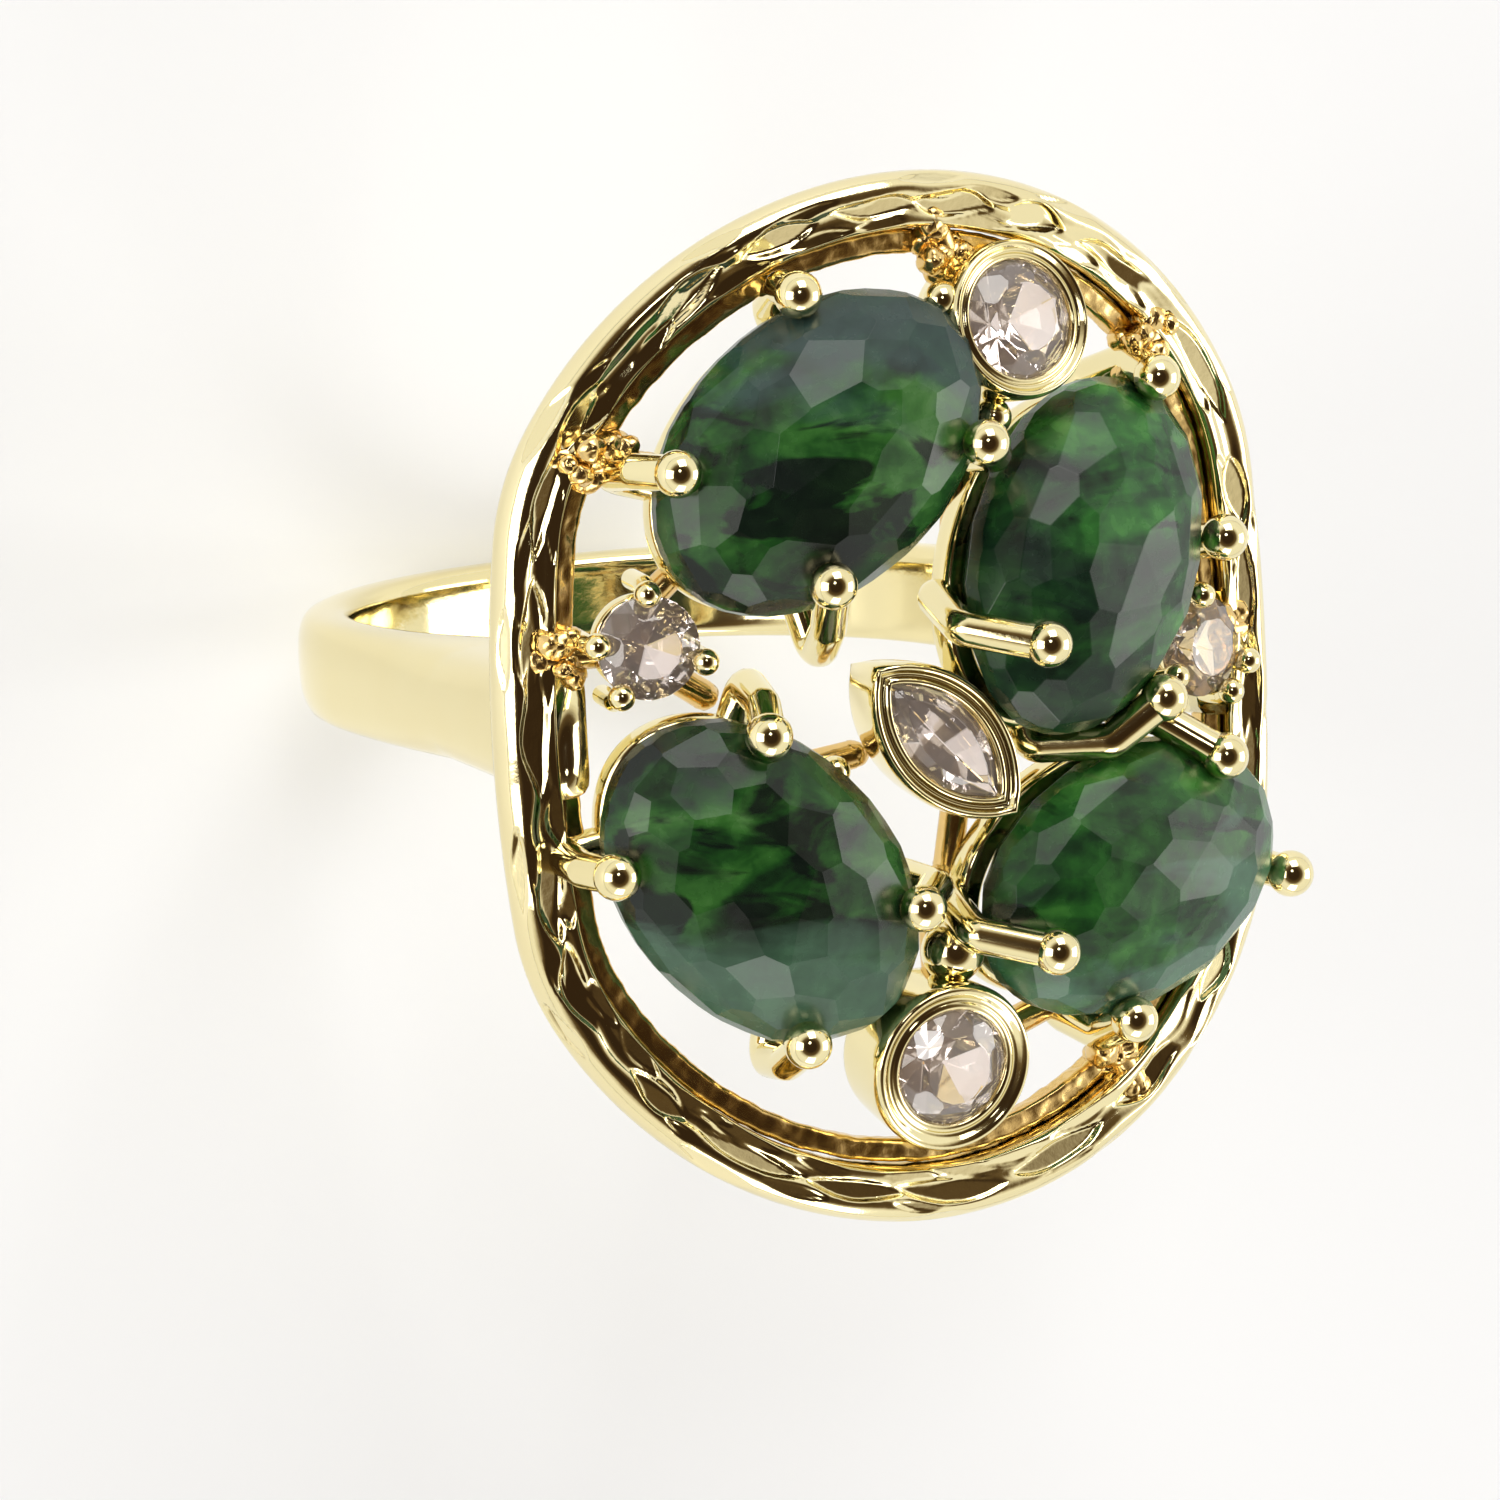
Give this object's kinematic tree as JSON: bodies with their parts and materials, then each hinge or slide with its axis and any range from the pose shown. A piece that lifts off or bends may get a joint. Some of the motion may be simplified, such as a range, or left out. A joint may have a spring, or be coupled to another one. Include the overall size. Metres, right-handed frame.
{
  "type": "cocktail ring",
  "caption": "Gold-tone cocktail ring with faceted green oval stones in ball claws inside an oval hammered frame, with small clear accent stones.",
  "frame": {"origin": "centre of the finger bore, on its axis, half way along the band's width", "axes": "+Y along the finger, +Z out through the head, +X across the head"},
  "size_m": [0.0229, 0.0276, 0.0293],
  "materials": {
    "polished_gold": "polished",
    "hammered_gold": "hammered and polished",
    "cast_gold": "as cast, lightly polished",
    "green_stone": "faceted and polished",
    "clear_stone": "faceted and polished"
  },
  "bodies": {
    "root": {"bottom_round_bezel": "polished_gold", "bottom_round_stone": "clear_stone", "gallery_rail": "cast_gold", "hammered_frame": "hammered_gold", "left_accent_claws": "polished_gold", "left_accent_collet": "polished_gold", "left_accent_stone": "clear_stone", "lower_bead": "polished_gold", "lower_left_claw_bottom": "polished_gold", "lower_left_claw_left": "polished_gold", "lower_left_claw_right": "polished_gold", "lower_left_claw_top": "polished_gold", "lower_left_oval_stone": "green_stone", "lower_left_seat": "polished_gold", "lower_right_claw_bottom": "polished_gold", "lower_right_claw_left": "polished_gold", "lower_right_claw_right": "polished_gold", "lower_right_claw_top": "polished_gold", "lower_right_oval_stone": "green_stone", "lower_right_seat": "polished_gold", "marquise_bezel": "polished_gold", "marquise_stone": "clear_stone", "middle_bead": "polished_gold", "right_accent_claws": "polished_gold", "right_accent_collet": "polished_gold", "right_accent_stone": "clear_stone", "shank": "polished_gold", "strut_frame_to_top_bezel": "cast_gold", "strut_left_accent_to_frame": "cast_gold", "strut_left_accent_to_lower_left": "cast_gold", "strut_lower_left_to_bottom_bezel": "cast_gold", "strut_lower_right_to_bottom_bezel": "cast_gold", "strut_lower_right_to_frame": "cast_gold", "strut_marquise_to_lower_left": "cast_gold", "strut_marquise_to_lower_right": "cast_gold", "strut_right_accent_to_frame": "cast_gold", "strut_top_bezel_to_upper_left": "cast_gold", "strut_upper_left_to_frame": "cast_gold", "strut_upper_left_to_left_accent": "cast_gold", "strut_upper_left_to_upper_right": "cast_gold", "strut_upper_right_to_frame": "cast_gold", "strut_upper_right_to_marquise": "cast_gold", "top_bead": "polished_gold", "top_round_bezel": "polished_gold", "top_round_stone": "clear_stone", "upper_bead": "polished_gold", "upper_left_claw_bottom": "polished_gold", "upper_left_claw_left": "polished_gold", "upper_left_claw_right": "polished_gold", "upper_left_claw_top": "polished_gold", "upper_left_oval_stone": "green_stone", "upper_left_seat": "polished_gold", "upper_right_claw_bottom": "polished_gold", "upper_right_claw_left": "polished_gold", "upper_right_claw_right": "polished_gold", "upper_right_claw_top": "polished_gold", "upper_right_oval_stone": "green_stone", "upper_right_seat": "polished_gold"}
  },
  "joints": []
}
